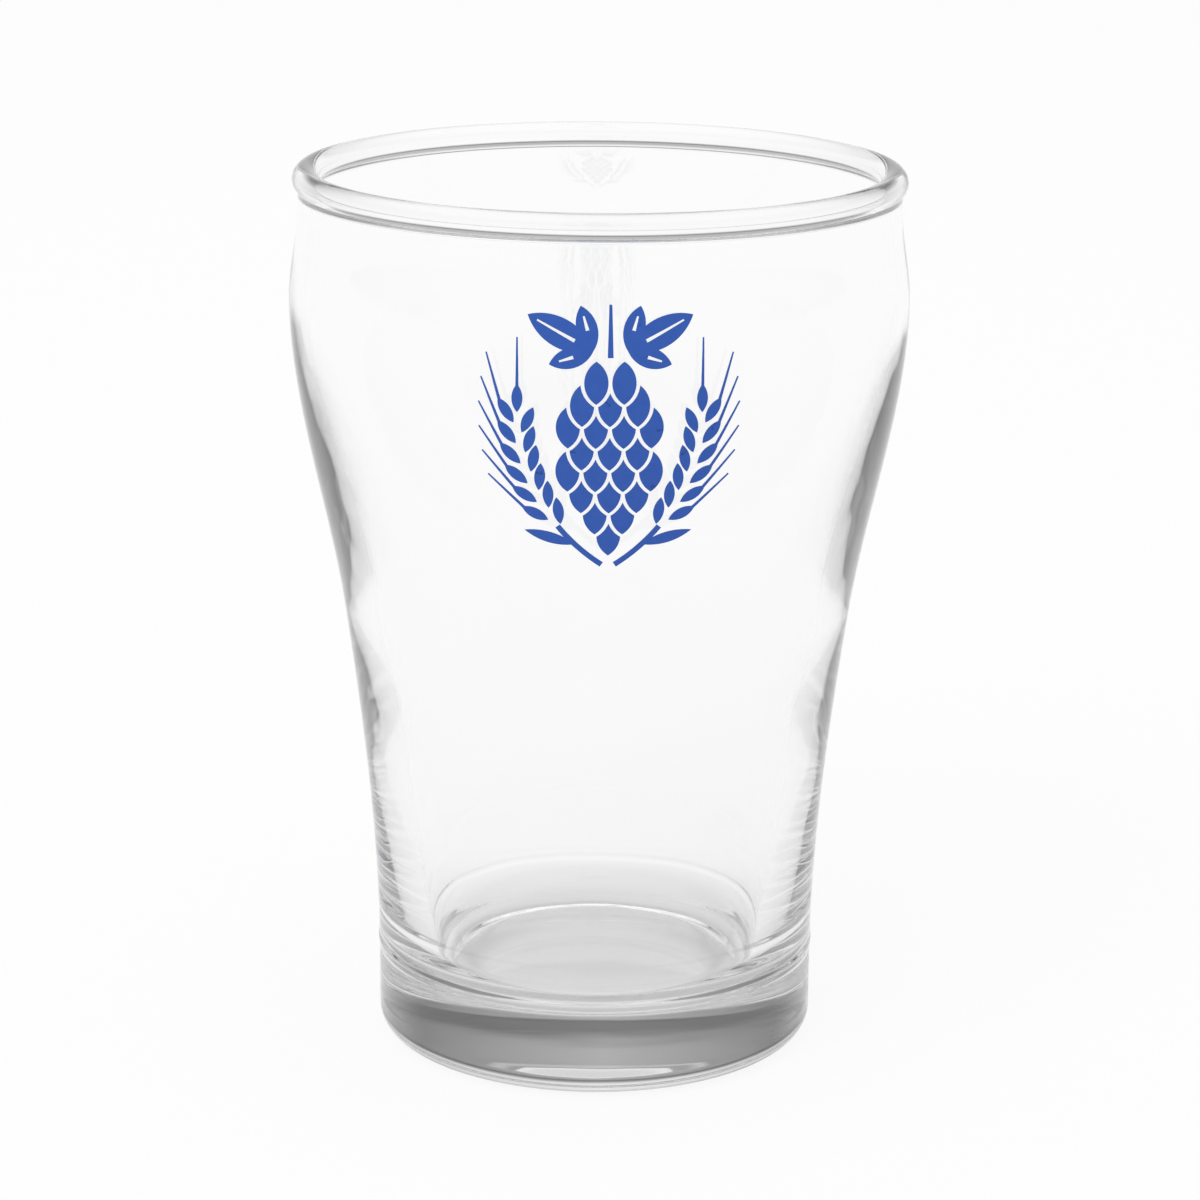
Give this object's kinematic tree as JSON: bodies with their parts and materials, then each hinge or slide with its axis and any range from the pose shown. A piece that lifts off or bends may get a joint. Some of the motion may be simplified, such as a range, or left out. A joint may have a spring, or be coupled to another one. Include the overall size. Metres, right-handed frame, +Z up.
{
  "type": "beer tasting glass",
  "caption": "Small clear tumbler for tasting beer, with a thick base, a tapered wall, a full belly, a beaded rim and a blue hops and barley emblem fired on its front.",
  "frame": {"origin": "centre of the foot on the table", "axes": "+Z up the glass's axis to the rim, -Y towards the printed front, +X to the right as the print is seen"},
  "size_m": [0.0631, 0.0631, 0.092],
  "materials": {
    "clear_glass": "clear, fire-polished soda-lime glass",
    "blue_enamel": "royal blue fired enamel, satin gloss"
  },
  "bodies": {
    "root": {"glass_body": "clear_glass", "print_hop_cone": "blue_enamel", "print_hop_leaves": "blue_enamel", "print_barley_left": "blue_enamel", "print_barley_right": "blue_enamel"}
  },
  "joints": []
}
